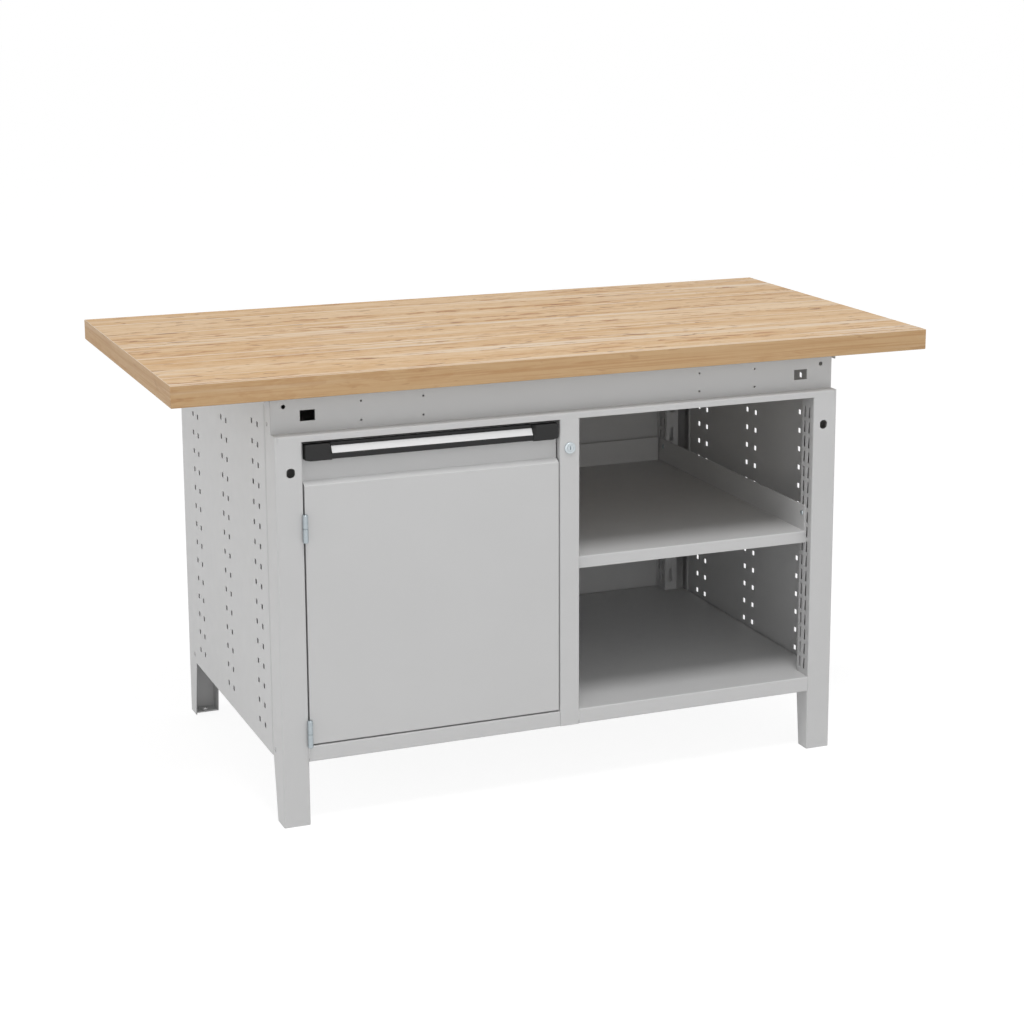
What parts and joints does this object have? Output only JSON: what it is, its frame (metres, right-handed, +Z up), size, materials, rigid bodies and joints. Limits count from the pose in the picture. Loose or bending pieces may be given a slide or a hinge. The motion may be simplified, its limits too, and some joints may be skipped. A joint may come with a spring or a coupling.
{
  "type": "workbench with cupboard",
  "caption": "Workshop bench with a laminated wood top on a folded sheet-steel frame, perforated side panels, a lockable cupboard with a hinged door and an open bay with a tray shelf.",
  "frame": {"origin": "on the floor under the middle of the worktop", "axes": "+X along the bench to the right as seen from the front, +Y to the back, +Z up"},
  "size_m": [1.5, 0.75, 0.84],
  "materials": {
    "laminated_wood": "oiled laminated staves",
    "grey_paint": "satin powder coat, light grey",
    "zinc": "bright zinc plate",
    "black_grip": "black anodised extrusion",
    "grip_end": "fine-grained dark grey moulding",
    "label_strip": "pale satin strip, blank"
  },
  "bodies": {
    "frame": {"worktop": "laminated_wood", "post_front_left": "grey_paint", "post_front_right": "grey_paint", "post_rear_left": "grey_paint", "post_rear_right": "grey_paint", "foot_plate_front_left": "grey_paint", "foot_plate_front_right": "grey_paint", "foot_plate_rear_left": "grey_paint", "foot_plate_rear_right": "grey_paint", "upper_rail_front": "grey_paint", "upper_rail_rear": "grey_paint", "centre_post_front": "grey_paint", "centre_post_rear": "grey_paint", "side_panel_left": "grey_paint", "side_panel_right": "grey_paint", "worktop_support_left": "grey_paint", "worktop_support_right": "grey_paint", "bottom_shelf_left": "grey_paint", "bottom_shelf_right": "grey_paint", "back_panel_left": "grey_paint", "back_panel_right": "grey_paint", "divider_panel": "grey_paint", "bay_tray_shelf": "grey_paint", "cupboard_tray_shelf": "grey_paint", "bay_bolt_front_left": "zinc", "bay_bolt_front_right": "zinc", "bay_bolt_rear_left": "zinc", "bay_bolt_rear_right": "zinc", "cupboard_bolt_front_left": "zinc", "cupboard_bolt_front_right": "zinc", "cupboard_bolt_rear_left": "zinc", "cupboard_bolt_rear_right": "zinc", "door_stop_lower": "zinc", "door_stop_upper": "zinc", "hinge_lower_frame_knuckle": "zinc", "hinge_lower_pin": "zinc", "hinge_upper_frame_knuckle": "zinc", "hinge_upper_pin": "zinc", "lock_body": "zinc", "lock_nut": "zinc"},
    "door": {"door_panel": "grey_paint", "grip_profile": "black_grip", "grip_end_left": "grip_end", "grip_end_right": "grip_end", "label_strip": "label_strip", "hinge_lower_door_knuckle": "zinc", "hinge_upper_door_knuckle": "zinc"},
    "lock": {"lock_plug": "zinc", "lock_cam": "zinc", "lock_cam_nut": "zinc"}
  },
  "joints": [
    {"name": "door_hinge", "type": "hinge", "parent": "frame", "child": "door", "pos_m": [-0.51275, -0.3623, 0.368], "axis": [0, 0, -1], "range_deg": [0, 170]},
    {"name": "lock_turn", "type": "hinge", "parent": "frame", "child": "lock", "pos_m": [0, -0.357, 0.663], "axis": [0, 1, 0], "range_deg": [0, 90]}
  ]
}
